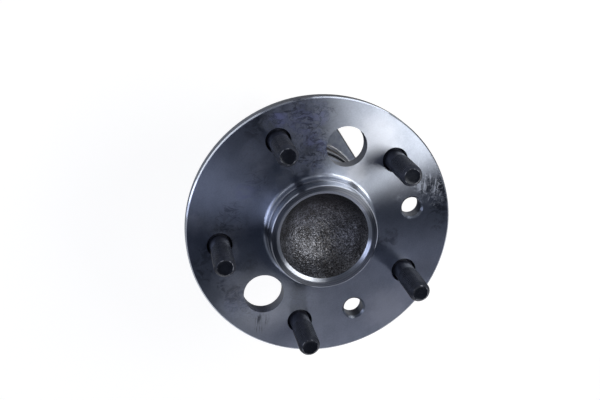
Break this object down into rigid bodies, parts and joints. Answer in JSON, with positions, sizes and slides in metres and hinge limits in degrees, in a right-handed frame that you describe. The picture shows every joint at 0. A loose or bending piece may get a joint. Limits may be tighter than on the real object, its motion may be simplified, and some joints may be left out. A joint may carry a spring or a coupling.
{
  "type": "wheel hub bearing",
  "caption": "Flanged wheel hub unit for a non-driven wheel: studded hub spindle with forged pilot cup on a double-row ball bearing in a bolted outer ring.",
  "frame": {"origin": "centre of the carrier bolt pattern, on the face of the outer ring's flange that meets the carrier", "axes": "+Z along the wheel axis, outboard, towards the wheel studs' tips; X and Y along the sides of the carrier flange"},
  "size_m": [0.1512, 0.1512, 0.1401],
  "materials": {
    "turned_steel": "turned bare steel, oiled",
    "ground_steel": "ground bearing steel",
    "black_steel": "black phosphate",
    "plated_sheet": "zinc-plated sheet",
    "seal_rubber": "moulded rubber",
    "cage_nylon": "moulded nylon"
  },
  "bodies": {
    "outer": {"outer_ring": "turned_steel", "seal_case": "plated_sheet", "seal_lips": "seal_rubber", "dust_cap": "plated_sheet"},
    "hub": {"hub_spindle": "turned_steel", "wheel_stud_1": "black_steel", "wheel_stud_2": "black_steel", "wheel_stud_3": "black_steel", "wheel_stud_4": "black_steel", "wheel_stud_5": "black_steel", "inner_ring": "ground_steel", "spindle_nut": "plated_sheet"},
    "outboard_balls": {"outboard_cage": "cage_nylon", "outboard_ball_01": "ground_steel", "outboard_ball_02": "ground_steel", "outboard_ball_03": "ground_steel", "outboard_ball_04": "ground_steel", "outboard_ball_05": "ground_steel", "outboard_ball_06": "ground_steel", "outboard_ball_07": "ground_steel", "outboard_ball_08": "ground_steel", "outboard_ball_09": "ground_steel", "outboard_ball_10": "ground_steel", "outboard_ball_11": "ground_steel", "outboard_ball_12": "ground_steel"},
    "inboard_balls": {"inboard_cage": "cage_nylon", "inboard_ball_01": "ground_steel", "inboard_ball_02": "ground_steel", "inboard_ball_03": "ground_steel", "inboard_ball_04": "ground_steel", "inboard_ball_05": "ground_steel", "inboard_ball_06": "ground_steel", "inboard_ball_07": "ground_steel", "inboard_ball_08": "ground_steel", "inboard_ball_09": "ground_steel", "inboard_ball_10": "ground_steel", "inboard_ball_11": "ground_steel", "inboard_ball_12": "ground_steel"}
  },
  "joints": [
    {"name": "hub_spin", "type": "hinge", "parent": "outer", "child": "hub", "pos_m": [0, 0, 0.002], "axis": [0, 0, 1], "continuous": true},
    {"name": "outboard_cage_spin", "type": "hinge", "parent": "outer", "child": "outboard_balls", "pos_m": [0, 0, 0.0155], "axis": [0, 0, 1], "continuous": true},
    {"name": "inboard_cage_spin", "type": "hinge", "parent": "outer", "child": "inboard_balls", "pos_m": [0, 0, -0.0115], "axis": [0, 0, 1], "continuous": true}
  ],
  "couplings": [
    {"joint": "outboard_cage_spin", "follows": "hub_spin", "ratio": 0.413},
    {"joint": "inboard_cage_spin", "follows": "hub_spin", "ratio": 0.413}
  ]
}
